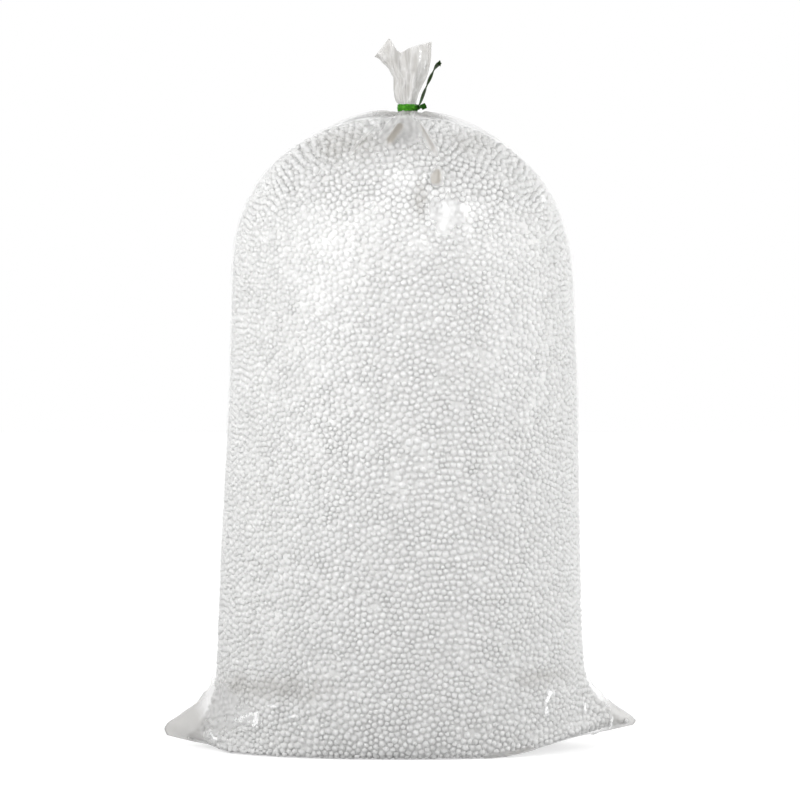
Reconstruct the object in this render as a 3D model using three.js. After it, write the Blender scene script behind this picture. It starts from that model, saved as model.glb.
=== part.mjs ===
// A clear film bag of loose polystyrene beads. It stands on its sealed end, and a twist tie gathers its neck.
// Millimetres, +Z up. The origin is on the floor below the middle of the bag.
// The front faces -Y, and +X is to the right of someone who looks at the front.
import * as THREE from "three";

// Film: one layer, and the width of the empty bag laid flat, which is half the way round it
const FILM = 0.1;
const LAY_FLAT_WIDTH = 318;

// Wall of the filled bag, a tapering oval between its foot and its top
const WALL_FOOT_WIDTH = 0.719 * LAY_FLAT_WIDTH;
const WALL_TOP_WIDTH = 0.93 * WALL_FOOT_WIDTH;
const WALL_FOOT_HEIGHT = 60;
const WALL_HEIGHT = 225;
const WALL_TOP_HEIGHT = WALL_FOOT_HEIGHT + WALL_HEIGHT;
const WALL_BLEND = 0.02;

// Bottom: the flat that rests on the floor, and the half thickness of the sealed edge across it
const FLOOR_WIDTH = 0.773 * LAY_FLAT_WIDTH;
const FLOOR_DEPTH = 0.46 * LAY_FLAT_WIDTH;
const SEAL_HALF = 4 * FILM;

// Ears: the bag's two sealed corners, which stand out of the filled part on each side.
// lift is the height of the sealed corner and blunt the height of its end.
// liftFrom is the share of the reach where the seal leaves the floor.
const EAR_REACH = 0.461 * LAY_FLAT_WIDTH;
const LEFT_EAR = { lift: 7.5, blunt: 7, liftFrom: 0.71 };
const RIGHT_EAR = { lift: 14, blunt: 4.5, liftFrom: 0.38 };
const EAR_SLOPE = 2;
const EAR_FILLET = 7;
const EAR_CURL = 1.5;
const EAR_PUFF = 5;
const EAR_ROUND = 1.5;
const EAR_BLEND = 0.09;

// Dome over the wall. The bag's middle swings to one side on the way up, and its neck stands off to the same side.
const DOME_HEIGHT = 108;
const DOME_POWER = 2.7;
const NECK_HEIGHT = WALL_TOP_HEIGHT + DOME_HEIGHT;
const NECK_SHIFT = 4.7;
const NECK_SHIFT_POWER = 120;
const WALL_LEAN = 2.2;
const LEAN_HEIGHT = 0.84 * WALL_TOP_HEIGHT;
const LEAN_SPAN = 0.4 * WALL_HEIGHT;

// Pleats round the neck, each with its own height and reach, and the bundle of folds that the tie holds
const PLEATS = 16;
const PLEAT_HEIGHT = 5;
const PLEAT_REACH = 50;
const NECK_RADIUS = 4.7;
const NECK_PLEAT = 0.11 * NECK_RADIUS;
const NECK_CHANNEL = 0.18 * NECK_RADIUS;

// Tuft: the film above the tie, which opens into a ragged fan with a peak on each side and a notch between them
const TUFT_HEIGHT = 29.6;
const TUFT_FOOT_RADIUS = 1.4 * NECK_RADIUS;
const TUFT_LEFT = { reach: 20.5, flare: 2.4 };
const TUFT_RIGHT = { reach: 14.5, flare: 0.9 };
const TUFT_HALF_DEPTH = 9;
const TUFT_PLEAT = 2;
const LEFT_PEAK = { x: -0.55 * TUFT_LEFT.reach, rise: 11.5, width: 0.42 * TUFT_LEFT.reach, power: 1 };
const RIGHT_PEAK = { x: 1.07 * TUFT_RIGHT.reach, rise: 9.5, width: 1.4 * TUFT_RIGHT.reach, power: 0.6 };

// Bead fill, which runs part of the way into the ears and leaves the film round the neck empty.
// Its grain is a chequer of bumps and hollows, each as wide as a few beads.
const FILL_GAP = 0.4;
const FILL_IN_EARS = 0.4;
const FILL_CROWN_WIDTH = 0.2 * WALL_TOP_WIDTH;
const FILL_CROWN_RISE = 2;
const GRAIN_DEPTH = 1.5;
const GRAIN_STEP = 12.2;
const GRAIN_THICKNESS = { none: 4, full: 20 };

// Twist tie: a flat ribbon with a wire down its middle, and the twisted knot that its two ends leave
const TIE_WIDTH = 4.2;
const TIE_THICKNESS = 0.5;
const WIRE_DIAMETER = 2 * TIE_THICKNESS;
const TIE_GAP = 0.3;
const TIE_BOTTOM = NECK_HEIGHT + 2.2;
const TIE_TOP = TIE_BOTTOM + TIE_WIDTH;
const KNOT_AZIMUTH = THREE.MathUtils.degToRad(-52);
const KNOT_LENGTH = 2.6;
const KNOT_TURNS = 0.75;
const LONG_TAIL = { lean: 13.6, rise: 0.91 * TUFT_HEIGHT, droop: 0.15 };
const SHORT_TAIL = { lean: 3.5, rise: 3.2, droop: 0 };
const TAIL_BEND = 0.3;

// Mesh density, and the rows of the film as shares of the bottom, wall, dome and tuft.
// In the bottom, depth is the share of the floor's half depth and turn the share of the curve up to the wall.
// puff is the share of the ear's thickness, end the share of its blunt end and edge the share of its upper edge.
const COLUMNS_PER_PLEAT = 4;
const COLUMNS = COLUMNS_PER_PLEAT * PLEATS;
const FILL_COLUMNS = 2 * Math.round(LAY_FLAT_WIDTH / GRAIN_STEP);
const SECTION_SAMPLES = 240;
const RING_STEPS = 26;
const KNOT_STEPS = 8;
const TAIL_STEPS = 7;
const BOTTOM_STEPS = [
  { depth: 0, turn: 0, puff: 0, end: 0 },
  { depth: 0.14, turn: 0, puff: 0.2, end: 0.5 },
  { depth: 0.6, turn: 0, puff: 0.5, end: 1 },
  { depth: 1, turn: 0, puff: 0.8, edge: 0.14 },
  { depth: 1, turn: 0.3, puff: 1, edge: 0.3 },
  { depth: 1, turn: 0.55, puff: 1, edge: 0.48 },
  { depth: 1, turn: 0.78, puff: 1, edge: 0.7 },
  { depth: 1, turn: 1, puff: 1, edge: 1 },
];
const WALL_STEPS = [0.5, 1];
const DOME_STEPS = [0.16, 0.31, 0.45, 0.58, 0.69, 0.79, 0.87, 0.93, 0.97, 0.992];
const TUFT_STEPS = [0.1, 0.38, 0.7, 1];

const { clamp, lerp, smoothstep } = THREE.MathUtils;
const HALF_TURN = Math.PI;
const FULL_TURN = 2 * Math.PI;
const softplus = (value, width) => width * Math.log1p(Math.exp(value / width));
const softplusInverse = (value, width) => width * Math.log(Math.expm1(value / width));
const hill = (away, width) => Math.exp(-((away / width) ** 2));

// Wall and dome at a height

// The film keeps its length round the bag, so an oval that is narrower is deeper.
function halfDepthOf(halfWidth) {
  const meanRadius = LAY_FLAT_WIDTH / Math.PI;
  return Math.sqrt(2 * meanRadius ** 2 - halfWidth ** 2);
}

function wallHalfWidth(height) {
  return lerp(WALL_FOOT_WIDTH, WALL_TOP_WIDTH, (height - WALL_FOOT_HEIGHT) / WALL_HEIGHT) / 2;
}

// How much of the wall's size is left at a share of the dome's height
const domeLeft = (share) => Math.sqrt(1 - share ** DOME_POWER);

// Sideways shift of the bag's middle
function shiftAt(height) {
  const lean = WALL_LEAN * hill(height - LEAN_HEIGHT, LEAN_SPAN);
  const share = Math.max(0, (height - WALL_TOP_HEIGHT) / DOME_HEIGHT);
  return lerp(lean, NECK_SHIFT, share ** NECK_SHIFT_POWER);
}

// Rows: closed rings of film, from the seal to the mouth.
// A row has the half width and half depth of the filled part, the height at its middle, and its two side folds.

// Reach of an ear's upper edge at a height: a slope that runs into the wall in a fillet
function earEdge(ear, height) {
  const run = (EAR_REACH - WALL_FOOT_WIDTH / 2) / EAR_SLOPE;
  const root = ear.lift + ear.blunt + softplusInverse(run, EAR_FILLET);
  return WALL_FOOT_WIDTH / 2 + EAR_SLOPE * softplus(root - height, EAR_FILLET);
}

function foldAt(ear, step) {
  const liftFrom = ear.liftFrom * EAR_REACH;
  if (step.edge === undefined) {
    const rounding = EAR_ROUND * (2 * step.end - 1) ** 2;
    return { x: EAR_REACH - rounding, z: ear.lift + step.end * ear.blunt, liftFrom };
  }
  const z = lerp(ear.lift + ear.blunt, WALL_FOOT_HEIGHT, step.edge);
  return { x: earEdge(ear, z), z, liftFrom };
}

function bottomRow(step) {
  const angle = (step.turn * HALF_TURN) / 2;
  const wall = wallHalfWidth(WALL_FOOT_HEIGHT);
  const floorDepth = Math.max(SEAL_HALF, (step.depth * FLOOR_DEPTH) / 2);
  return {
    halfWidth: lerp(FLOOR_WIDTH / 2, wall, Math.sin(angle)),
    halfDepth: lerp(floorDepth, halfDepthOf(wall), Math.sin(angle)),
    height: WALL_FOOT_HEIGHT * (1 - Math.cos(angle)),
    shift: 0,
    blend: lerp(EAR_BLEND, WALL_BLEND, step.turn ** 2),
    puff: Math.max(SEAL_HALF, EAR_PUFF * step.puff),
    left: foldAt(LEFT_EAR, step),
    right: foldAt(RIGHT_EAR, step),
  };
}

// A row with no ears
function ovalRow(halfWidth, halfDepth, height) {
  const fold = { x: halfWidth, z: height, liftFrom: 0 };
  return { halfWidth, halfDepth, height, shift: shiftAt(height), blend: WALL_BLEND, puff: 0, left: fold, right: fold };
}

function wallRow(share) {
  const height = lerp(WALL_FOOT_HEIGHT, WALL_TOP_HEIGHT, share);
  const halfWidth = wallHalfWidth(height);
  return ovalRow(halfWidth, halfDepthOf(halfWidth), height);
}

function domeRow(share) {
  const height = lerp(WALL_TOP_HEIGHT, NECK_HEIGHT, share);
  const halfWidth = wallHalfWidth(height);
  return ovalRow(domeLeft(share) * halfWidth, domeLeft(share) * halfDepthOf(halfWidth), height);
}

// Half depth of a row at x: an oval that ends at its reach, past its own half width in a thin flat ear
function rowHalfDepth(row, x, reach) {
  const rounded = (at) => softplus(1 - (at / row.halfWidth) ** 2, row.blend);
  const end = rounded(reach);
  const filled = Math.max(0, (rounded(x) - end) / (rounded(0) - end));
  const ear = reach > row.halfWidth ? row.puff * Math.sqrt(1 - Math.abs(x) / reach) : 0;
  return Math.hypot(row.halfDepth * Math.sqrt(filled), ear);
}

// Height of a row at x: level in the middle and lifted towards its folds
function rowHeight(row, x) {
  const fold = x < 0 ? row.left : row.right;
  const share = clamp((Math.abs(x) - fold.liftFrom) / (fold.x - fold.liftFrom), 0, 1);
  return lerp(row.height, fold.z, share ** EAR_CURL);
}

// A closed ring of points, evenly spaced along the film, from the right end round the back.
// The ends are at the folds for the film, and part of the way there for the fill.
function rowPoints(row, columns, shareOfEars) {
  const half = [];
  for (let i = 0; i <= SECTION_SAMPLES; i++) {
    const cosine = Math.cos((HALF_TURN * i) / SECTION_SAMPLES);
    const fold = cosine < 0 ? row.left : row.right;
    const reach = lerp(row.halfWidth, fold.x, shareOfEars);
    const x = cosine * reach;
    half.push(new THREE.Vector3(x, rowHalfDepth(row, x, reach), rowHeight(row, x)));
  }
  half[0].y = 0;
  half[SECTION_SAMPLES].y = 0;
  const back = spaced(half, columns / 2);
  const front = back.slice(1, -1).reverse();
  const ring = [...back, ...front.map((p) => new THREE.Vector3(p.x, -p.y, p.z))];
  return ring.map((p) => p.setX(p.x + row.shift));
}

// Points at equal distances along a line of points
function spaced(line, steps) {
  const along = [0];
  for (let i = 1; i < line.length; i++) along.push(along[i - 1] + line[i].distanceTo(line[i - 1]));
  const made = [];
  let next = 1;
  for (let k = 0; k <= steps; k++) {
    const target = (along.at(-1) * k) / steps;
    while (next < line.length - 1 && along[next] < target) next++;
    const share = (target - along[next - 1]) / (along[next] - along[next - 1]);
    made.push(line[next - 1].clone().lerp(line[next], share));
  }
  return made;
}

// Pleats: ridges of spare film that run from the neck down the dome and up into the tuft

const columnAngle = (column) => (FULL_TURN * column) / COLUMNS;
const pleatRidge = (column) => Math.cos(PLEATS * columnAngle(column));
const pleatIndex = (column) => Math.round(column / COLUMNS_PER_PLEAT) % PLEATS;

// A number from 0 to 1 for each pleat, from a wave that doesn't repeat round the neck
const uneven = (column, wave) => 0.5 + 0.5 * Math.sin(wave * (pleatIndex(column) + 1));

function pleatedDome(row) {
  const middle = new THREE.Vector3(row.shift, 0, WALL_TOP_HEIGHT);
  return rowPoints(row, COLUMNS, 1).map((p, column) => {
    const reach = PLEAT_REACH * (0.5 + uneven(column, 2.4));
    const height = PLEAT_HEIGHT * (0.5 + 0.5 * uneven(column, 4.1));
    const away = Math.hypot(p.x - NECK_SHIFT, p.y) / reach;
    const raised = away * Math.exp(1 - away - away ** 2) * (0.5 + 0.5 * pleatRidge(column));
    return p.addScaledVector(p.clone().sub(middle).normalize(), height * raised);
  });
}

// The gathered neck, a bundle of folds that the tie closes on
function neckRow(height) {
  return Array.from({ length: COLUMNS }, (_, column) => {
    const radius = NECK_RADIUS + NECK_PLEAT * pleatRidge(column);
    const angle = columnAngle(column);
    return new THREE.Vector3(NECK_SHIFT + radius * Math.cos(angle), radius * Math.sin(angle), height);
  });
}

// How far a peak lifts the rim of the tuft at a place across it
function peakAt(peak, x) {
  const near = Math.max(0, 1 - Math.abs(x - peak.x) / peak.width);
  return peak.rise * near ** peak.power;
}

// The tuft: the neck's folds open upwards into a fan that is wider than it is deep
function tuftRow(share) {
  return Array.from({ length: COLUMNS }, (_, column) => {
    const angle = columnAngle(column);
    const side = Math.cos(angle) < 0 ? TUFT_LEFT : TUFT_RIGHT;
    const pleat = lerp(NECK_PLEAT, TUFT_PLEAT, share) * pleatRidge(column) * (0.4 + 1.2 * uneven(column, 3.3));
    const x = (lerp(TUFT_FOOT_RADIUS, side.reach, share ** side.flare) + pleat) * Math.cos(angle);
    const y = (lerp(TUFT_FOOT_RADIUS, TUFT_HALF_DEPTH, share) + pleat) * Math.sin(angle);
    const height = TIE_TOP + share * (TUFT_HEIGHT + share * (peakAt(LEFT_PEAK, x) + peakAt(RIGHT_PEAK, x)));
    return new THREE.Vector3(NECK_SHIFT + x, y, height);
  });
}

// Surfaces from rows

// Two triangles for each cell of a grid of rings. In a chequer, each cell is split between its two hollows.
function gridIndices(rowCount, columns, chequer = false) {
  const indices = [];
  for (let row = 0; row < rowCount - 1; row++) {
    for (let column = 0; column < columns; column++) {
      const a = row * columns + column;
      const b = row * columns + ((column + 1) % columns);
      const c = b + columns;
      const d = a + columns;
      if (chequer && !isHollow(row, column)) indices.push(a, b, d, b, c, d);
      else indices.push(a, b, c, a, c, d);
    }
  }
  return indices;
}

// Every other point of a chequer is a hollow
const isHollow = (row, column) => (row + column) % 2 === 1;

// Closes the first ring by joining its back half to its front half, across the seal
function seamIndices(columns) {
  const indices = [];
  const front = (column) => (columns - column) % columns;
  for (let back = 0; back < columns / 2; back++) {
    if (back > 0) indices.push(back, front(back), back + 1);
    if (back < columns / 2 - 1) indices.push(back + 1, front(back), front(back + 1));
  }
  return indices;
}

function surface(points, indices) {
  const geometry = new THREE.BufferGeometry().setFromPoints(points);
  geometry.setIndex(indices);
  geometry.computeVertexNormals();
  return geometry;
}

// The points of a surface moved inwards by a distance for each, measured square to its faces
function inset(geometry, distanceOf) {
  const { position, normal } = geometry.attributes;
  const index = geometry.index.array;
  const facing = new Float32Array(position.count).fill(1);
  const corners = [0, 1, 2].map(() => new THREE.Vector3());
  const face = new THREE.Vector3();
  const own = new THREE.Vector3();
  for (let i = 0; i < index.length; i += 3) {
    corners.forEach((p, k) => p.fromBufferAttribute(position, index[i + k]));
    THREE.Triangle.getNormal(...corners, face);
    for (let k = 0; k < 3; k++) {
      own.fromBufferAttribute(normal, index[i + k]);
      facing[index[i + k]] = Math.min(facing[index[i + k]], own.dot(face));
    }
  }
  const sharpest = 0.3;
  return Array.from(facing, (least, i) => {
    own.fromBufferAttribute(normal, i);
    const step = distanceOf(i) / Math.max(least, sharpest);
    return new THREE.Vector3().fromBufferAttribute(position, i).addScaledVector(own, -step);
  });
}

// The film bag: an outer skin from the seal to the mouth, and an inner skin one film inside it

function filmGeometry() {
  const below = [
    ...BOTTOM_STEPS.map((step) => rowPoints(bottomRow(step), COLUMNS, 1)),
    ...WALL_STEPS.map((share) => rowPoints(wallRow(share), COLUMNS, 1)),
    ...DOME_STEPS.map((share) => pleatedDome(domeRow(share))),
    neckRow(NECK_HEIGHT),
  ];
  const held = [neckRow(TIE_BOTTOM), neckRow(TIE_TOP)];
  const rows = [...below, ...held, ...TUFT_STEPS.map(tuftRow)];
  const outer = rows.flat();
  const skin = [...gridIndices(rows.length, COLUMNS), ...seamIndices(COLUMNS)];
  const inner = inset(surface(outer, skin), () => FILM);

  // Where the tie holds them, the folds fill the neck but for a narrow channel.
  const heldFrom = below.length * COLUMNS;
  for (let i = heldFrom; i < heldFrom + held.length * COLUMNS; i++) {
    const angle = columnAngle(i);
    inner[i].set(NECK_SHIFT + NECK_CHANNEL * Math.cos(angle), NECK_CHANNEL * Math.sin(angle), outer[i].z);
  }

  const count = outer.length;
  const insideOut = [];
  for (let i = 0; i < skin.length; i += 3) {
    insideOut.push(skin[i + 2] + count, skin[i + 1] + count, skin[i] + count);
  }
  const rim = [];
  for (let column = 0; column < COLUMNS; column++) {
    const a = count - COLUMNS + column;
    const b = count - COLUMNS + ((column + 1) % COLUMNS);
    rim.push(a, b, b + count, a, b + count, a + count);
  }
  return surface([...outer, ...inner], [...skin, ...insideOut, ...rim]);
}

// The bead fill: the same rows without pleats, set inside the film and closed by a low crown

// Rings of points, with more rings set evenly between them where they are over a step apart
function filledIn(rings, step) {
  const made = [rings[0]];
  for (let i = 1; i < rings.length; i++) {
    const distances = rings[i].map((p, column) => p.distanceTo(rings[i - 1][column]));
    const mean = distances.reduce((sum, distance) => sum + distance) / distances.length;
    const parts = Math.max(1, Math.round(mean / step));
    for (let part = 1; part <= parts; part++) {
      made.push(rings[i].map((p, column) => rings[i - 1][column].clone().lerp(p, part / parts)));
    }
  }
  return made;
}

// Depth of the grain at a point of the fill, none in the thin ears
function grainDepth(point, ring, column) {
  if (!isHollow(ring, column)) return 0;
  const thick = smoothstep(Math.abs(point.y), GRAIN_THICKNESS.none, GRAIN_THICKNESS.full);
  const wall = smoothstep(point.z, WALL_FOOT_HEIGHT / 2, WALL_FOOT_HEIGHT);
  return GRAIN_DEPTH * Math.max(thick, wall);
}

function fillGeometry() {
  const rows = [
    ...BOTTOM_STEPS.slice(1).map(bottomRow),
    ...WALL_STEPS.map(wallRow),
    ...DOME_STEPS.map(domeRow).filter((row) => 2 * row.halfWidth > FILL_CROWN_WIDTH),
  ];
  const rings = filledIn(rows.map((row) => rowPoints(row, FILL_COLUMNS, FILL_IN_EARS)), GRAIN_STEP);
  const points = rings.flat();
  const grain = rings.flatMap((ring, i) => ring.map((p, column) => grainDepth(p, i, column)));
  const top = rows.at(-1).height;
  const last = points.length - FILL_COLUMNS;
  const crown = points.push(new THREE.Vector3(shiftAt(top), 0, top + FILL_CROWN_RISE)) - 1;
  grain.push(0);
  const indices = [...gridIndices(rings.length, FILL_COLUMNS, true), ...seamIndices(FILL_COLUMNS)];
  for (let column = 0; column < FILL_COLUMNS; column++) {
    indices.push(last + column, last + ((column + 1) % FILL_COLUMNS), crown);
  }
  return surface(inset(surface(points, indices), (i) => FILM + FILL_GAP + grain[i]), indices);
}

// The twist tie: one ribbon from the tip of the short tail, through the knot, round the neck and up the long tail

// Stations along the ribbon: its middle, and the direction that its outer face looks in
function tieStations() {
  const ring = NECK_RADIUS + NECK_PLEAT + TIE_GAP + WIRE_DIAMETER / 2;
  const strand = (WIRE_DIAMETER + TIE_GAP) / 2;
  const knotFrom = ring + 2 * strand;
  const out = new THREE.Vector3(Math.cos(KNOT_AZIMUTH), Math.sin(KNOT_AZIMUTH), 0);
  const up = new THREE.Vector3(0, 0, 1);
  const right = new THREE.Vector3(1, 0, 0);
  const side = new THREE.Vector3().crossVectors(up, out);
  const middle = new THREE.Vector3(NECK_SHIFT, 0, (TIE_BOTTOM + TIE_TOP) / 2);
  const place = (from, outwards, upwards) => from.clone().addScaledVector(out, outwards).addScaledVector(up, upwards);

  // One strand of the knot, from the ring outwards, on the side given by a sign
  const knot = (sign) =>
    Array.from({ length: KNOT_STEPS + 1 }, (_, i) => {
      const share = i / KNOT_STEPS;
      const turn = FULL_TURN * KNOT_TURNS * share;
      const normal = new THREE.Vector3().addScaledVector(side, sign * Math.cos(turn)).addScaledVector(up, sign * Math.sin(turn));
      const point = place(middle, knotFrom + KNOT_LENGTH * share, 0).addScaledVector(normal, strand);
      return { point, normal };
    });

  // The loop stops short of the knot on both sides, to leave room for the bends that join them.
  const opening = (4 * strand) / ring;
  const loop = Array.from({ length: RING_STEPS + 1 }, (_, i) => {
    const angle = KNOT_AZIMUTH + lerp(opening, FULL_TURN - opening, i / RING_STEPS);
    const normal = new THREE.Vector3(Math.cos(angle), Math.sin(angle), 0);
    return { point: middle.clone().addScaledVector(normal, ring), normal };
  });

  // A tail starts along the knot, bends upwards, turns its edge to the front, leans to the right and nods at its tip.
  const tail = (from, shape, bend, facing) =>
    Array.from({ length: TAIL_STEPS }, (_, i) => {
      const share = (i + 1) / TAIL_STEPS;
      const turned = smoothstep(share, 0, TAIL_BEND);
      const nod = 1 + shape.droop * (1 - share ** 4);
      const rise = shape.rise * nod * share * lerp(share / TAIL_BEND, 1, turned);
      const point = place(from.point, bend * turned, rise).addScaledVector(right, shape.lean * share);
      const normal = new THREE.Vector3(-turned, 0, 1 - turned).multiplyScalar(facing).normalize();
      return { point, normal };
    });
  const lower = knot(1);
  const upper = knot(-1);
  const shortTail = tail(lower.at(-1), SHORT_TAIL, WIRE_DIAMETER + 2 * strand, -1);
  const longTail = tail(upper.at(-1), LONG_TAIL, WIRE_DIAMETER, 1);
  return [...shortTail.reverse(), ...lower.reverse(), ...loop, ...upper, ...longTail];
}

// A ribbon section swept along the stations: thin edges, and a ridge over the wire on both faces
function tieGeometry() {
  const edge = [TIE_WIDTH / 2, TIE_THICKNESS / 2];
  const ridge = [WIRE_DIAMETER / 2, WIRE_DIAMETER / 2];
  const turned = ([wide, thick]) => [-wide, -thick];
  const flipped = ([wide, thick]) => [wide, -thick];
  const right = [flipped(edge), edge, ridge, turned(flipped(ridge))];
  const section = [...right, ...right.map(turned)];
  const stations = tieStations();
  const points = stations.flatMap(({ point, normal }, i) => {
    const before = stations[Math.max(i - 1, 0)].point;
    const after = stations[Math.min(i + 1, stations.length - 1)].point;
    const across = new THREE.Vector3().crossVectors(normal, after.clone().sub(before)).normalize();
    return section.map(([wide, thick]) => point.clone().addScaledVector(across, wide).addScaledVector(normal, thick));
  });
  const count = section.length;
  const last = points.length - count;
  const indices = gridIndices(stations.length, count);
  for (let k = 1; k < count - 1; k++) indices.push(0, k + 1, k, last, last + k, last + k + 1);
  return surface(points, indices);
}

function named(name, geometry, color, roughness) {
  const mesh = new THREE.Mesh(geometry, new THREE.MeshStandardMaterial({ color, roughness, metalness: 0 }));
  mesh.name = name;
  return mesh;
}

const bag = new THREE.Group();
bag.name = "bead_bag";
bag.add(
  named("film_bag", filmGeometry(), 0xe6e8e8, 0.15),
  named("bead_fill", fillGeometry(), 0xf2f2f0, 0.55),
  named("twist_tie", tieGeometry(), 0x3f9a2c, 0.35),
);
export default bag;
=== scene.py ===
"""Looks of a clear film bag of polystyrene beads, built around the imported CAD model."""

import math
from types import SimpleNamespace as Row

import bpy
import numpy as np
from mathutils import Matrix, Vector, kdtree, noise
from mathutils.bvhtree import BVHTree


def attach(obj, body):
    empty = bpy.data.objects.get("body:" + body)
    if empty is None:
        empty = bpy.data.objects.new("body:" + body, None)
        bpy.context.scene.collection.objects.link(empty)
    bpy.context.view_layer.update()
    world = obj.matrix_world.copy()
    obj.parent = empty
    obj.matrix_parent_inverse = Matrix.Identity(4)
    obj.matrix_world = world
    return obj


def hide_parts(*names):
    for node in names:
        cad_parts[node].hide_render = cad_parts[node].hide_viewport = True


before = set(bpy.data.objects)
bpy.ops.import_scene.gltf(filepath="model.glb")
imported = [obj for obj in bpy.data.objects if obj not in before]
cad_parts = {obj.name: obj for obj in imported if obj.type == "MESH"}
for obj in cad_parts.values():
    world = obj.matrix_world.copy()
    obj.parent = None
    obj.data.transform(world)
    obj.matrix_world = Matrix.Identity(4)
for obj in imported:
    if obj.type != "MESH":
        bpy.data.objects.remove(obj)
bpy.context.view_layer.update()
random = np.random.default_rng(11)
MM = 0.001

# The bag's driving sizes, in millimetres. They are the CAD model's, apart from the tuft's foot and
# right side and the tie's tails, which differ a little.
FILM = 0.1
LAY_FLAT_WIDTH = 318.0
WALL_FOOT_WIDTH = 0.719 * LAY_FLAT_WIDTH
WALL_TOP_WIDTH = 0.93 * WALL_FOOT_WIDTH
WALL_FOOT_HEIGHT = 60.0
WALL_HEIGHT = 225.0
WALL_TOP_HEIGHT = WALL_FOOT_HEIGHT + WALL_HEIGHT
WALL_BLEND = 0.02
FLOOR_WIDTH = 0.773 * LAY_FLAT_WIDTH
FLOOR_DEPTH = 0.46 * LAY_FLAT_WIDTH
SEAL_HALF = 4 * FILM
EAR_REACH = 0.461 * LAY_FLAT_WIDTH
LEFT_EAR = Row(lift=7.5, blunt=7.0, lift_from=0.71)
RIGHT_EAR = Row(lift=14.0, blunt=4.5, lift_from=0.38)
EAR_SLOPE = 2.0
EAR_FILLET = 7.0
EAR_CURL = 1.5
EAR_PUFF = 5.0
EAR_ROUND = 1.5
EAR_BLEND = 0.09
DOME_HEIGHT = 108.0
DOME_POWER = 2.7
NECK_HEIGHT = WALL_TOP_HEIGHT + DOME_HEIGHT
NECK_SHIFT = 4.7
NECK_SHIFT_POWER = 120
WALL_LEAN = 2.2
LEAN_HEIGHT = 0.84 * WALL_TOP_HEIGHT
LEAN_SPAN = 0.4 * WALL_HEIGHT
PLEATS = 16
PLEAT_HEIGHT = 5.0
PLEAT_REACH = 50.0
NECK_RADIUS = 4.7
NECK_PLEAT_SHARE = 0.11
NECK_PLEAT = NECK_PLEAT_SHARE * NECK_RADIUS
TIE_WIDTH = 4.2
TIE_BOTTOM = NECK_HEIGHT + 2.2
TIE_TOP = TIE_BOTTOM + TIE_WIDTH
TUFT_HEIGHT = 29.6
TUFT_FOOT_RADIUS = 1.15 * NECK_RADIUS
TUFT_LEFT_REACH = 20.5
TUFT_RIGHT_REACH = 14.8
TUFT_HALF_DEPTH = 9.0
LEFT_PEAK = Row(x=-0.55 * TUFT_LEFT_REACH, rise=11.5, width=0.42 * TUFT_LEFT_REACH, power=1.0)
RIGHT_PEAK = Row(x=1.07 * TUFT_RIGHT_REACH, rise=9.5, width=1.4 * TUFT_RIGHT_REACH, power=0.6)
CROWN_WIDTH = 0.2 * WALL_TOP_WIDTH
CROWN_RISE = 2.0
TIE_THICKNESS = 0.5
WIRE_DIAMETER = 2 * TIE_THICKNESS
TIE_GAP = 0.3
KNOT_AZIMUTH = math.radians(-52)
KNOT_LENGTH = 2.6
KNOT_TURNS = 0.75
LONG_TAIL = Row(lean=13.9, rise=0.89 * TUFT_HEIGHT, droop=0.3, turn=0.0, wobble=0.4)
SHORT_TAIL = Row(lean=3.6, rise=1.7, droop=0.0, turn=0.5, wobble=0.0)
TAIL_BEND = 0.3

# Film mesh: points round a row, the step between rows, and points on half a row before they are evened out
COLUMNS = 20 * PLEATS
ROW_STEP = 2.4
SAMPLES = 720
NECK_ROWS = 3
TUFT_ROWS = 22
FLOOR_GAP = 0.02

# Pleats at the neck, each with its own reach and height, finer ones between them, and the form of the tuft
PLEAT_REACH_WAVE, PLEAT_HEIGHT_WAVE = 2.4, 4.1
PLEAT_SHARPNESS = 1.6
FINE_PLEATS = 41
FINE_PLEAT_HEIGHT = 1.1
FINE_PLEAT_REACH = 17.0
NECK_FLARE = Row(height=0.7, radius=1.6 * NECK_RADIUS)
NECK_ENTRY_RADIUS = 1.06 * NECK_RADIUS
TUFT_FIRST_ROW = 0.05
TUFT_LEFT_POWER = 0.85
TUFT_RIGHT_FULL = 0.82
TUFT_SWELL = Row(size=3.4, share=0.12)
TUFT_PLEAT, TUFT_PLEAT_DEPTH, TUFT_PLEAT_WIDTH = 0.8, 1.5, 0.5
TUFT_PLEAT_ROOM = 2.5
TUFT_PINCH = Row(x=-5.5, width=4.5, depth=0.55)
PEAK_OUTER_WIDTH, PEAK_INNER_WIDTH = 1.07, 0.8

# Noise on the film: the length of its waves along each axis, in millimetres, and its seed
RAGGED = Row(scale=(8, 8, 14), seed=1.7)
RIDGES = Row(scale=(9, 9, 40), seed=3.1)
CRINKLES = Row(scale=(3.5, 3.5, 8), seed=4.4)
EAR_RIDGES = Row(scale=(8, 8, 6), seed=5.2)
FINE = Row(scale=(3, 3, 3), seed=6.1)
TUFT_WAVES = Row(scale=(6, 6, 14), seed=7.7)
SLACK = Row(scale=(34, 34, 60), seed=9.4)

# Heights of the film's wrinkles, in millimetres
RIDGE_HEIGHT = 0.4
SLACK_HEIGHT, UPPER_SLACK_HEIGHT = 0.3, 1.2
EAR_RIDGE_HEIGHT = 1.3
TUFT_WAVE_HEIGHT, TUFT_CRINKLE_HEIGHT = 0.6, 0.25

# Zones of the film: where each begins and where it is full, in millimetres
LOW_ZONE = (58, 38)
EAR_ZONE = (96, 114)
LEFT_EAR_ZONE = (110, 126)
RIGHT_EAR_ZONE = (118, 134)
EAR_TIP_ZONE = (140, 124)
WALL_FOOT_ZONE = (8, 38)
WALL_NECK_ZONE = (NECK_HEIGHT, NECK_HEIGHT - 40)
UPPER_ZONE = (230, 290)
FREE_ZONE = (TIE_TOP - 1, TIE_TOP + 1)
WEDGE_ZONE = (352, 396)

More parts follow.
